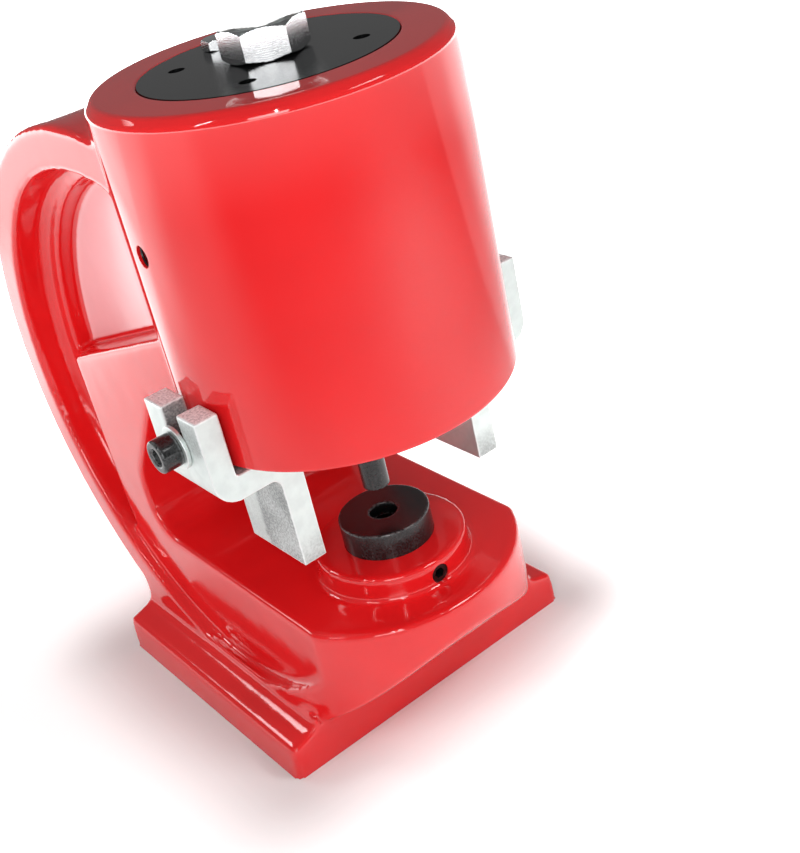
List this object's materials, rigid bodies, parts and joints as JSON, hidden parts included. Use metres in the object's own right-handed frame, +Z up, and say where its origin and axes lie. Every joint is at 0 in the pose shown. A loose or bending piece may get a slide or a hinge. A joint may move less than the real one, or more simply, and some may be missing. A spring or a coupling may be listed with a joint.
{
  "type": "hydraulic hole punch",
  "caption": "Hydraulic hole punch head: a cast C-frame on a flat foot carries a spring-return cylinder, punch and die, with adjustable stripper clamps beside the ram.",
  "frame": {"origin": "on the base plane, straight below the punch's axis", "axes": "+Z up along the punch's axis, -Y towards the open front of the throat, X across the frame"},
  "size_m": [0.17, 0.252, 0.34],
  "materials": {
    "red_paint_cast": "thick glossy red paint over a casting",
    "red_paint_turned": "smooth glossy red paint over turned steel",
    "zinc_plate": "bright zinc plate over sawn steel",
    "black_oxide": "oiled black oxide",
    "bright_steel": "ground steel",
    "bronze": "turned bronze",
    "seal_rubber": "matt black rubber",
    "backup_plastic": "cream plastic",
    "wear_plastic": "brown bearing plastic"
  },
  "bodies": {
    "frame_body": {"c_frame": "red_paint_cast", "cylinder_barrel": "red_paint_turned", "end_cap": "black_oxide", "end_cap_seal": "seal_rubber", "bleed_screw": "bright_steel", "guide_bush": "bronze", "rod_wiper": "seal_rubber", "return_spring": "bright_steel", "die": "black_oxide", "die_set_screw": "black_oxide", "clamp_screws": "black_oxide", "clamp_washers": "zinc_plate", "port_adapter": "bright_steel", "coupler_body": "zinc_plate", "poppet_spring": "bright_steel"},
    "ram_body": {"ram": "bright_steel", "piston": "bright_steel", "piston_screw": "black_oxide", "piston_seal": "seal_rubber", "backup_ring": "backup_plastic", "wear_ring": "wear_plastic", "punch_nut": "black_oxide", "punch": "black_oxide"},
    "left_clamp_body": {"left_clamp": "zinc_plate"},
    "right_clamp_body": {"right_clamp": "zinc_plate"},
    "poppet_body": {"coupler_poppet": "bright_steel"}
  },
  "joints": [
    {"name": "ram_slide", "type": "slide", "parent": "frame_body", "child": "ram_body", "axis": [0, 0, -1], "range_m": [0, 0.02], "stiffness_N_per_m": 6000, "springref_m": -0.01, "deforming": ["return_spring"]},
    {"name": "left_clamp_slide", "type": "slide", "parent": "frame_body", "child": "left_clamp_body", "axis": [0, 0, -1], "range_m": [-0.0008, 0.008]},
    {"name": "right_clamp_slide", "type": "slide", "parent": "frame_body", "child": "right_clamp_body", "axis": [0, 0, -1], "range_m": [-0.0008, 0.008]},
    {"name": "poppet_slide", "type": "slide", "parent": "frame_body", "child": "poppet_body", "axis": [0, 0, -1], "range_m": [0, 0.004], "stiffness_N_per_m": 4000, "springref_m": -0.004, "deforming": ["poppet_spring"]}
  ]
}
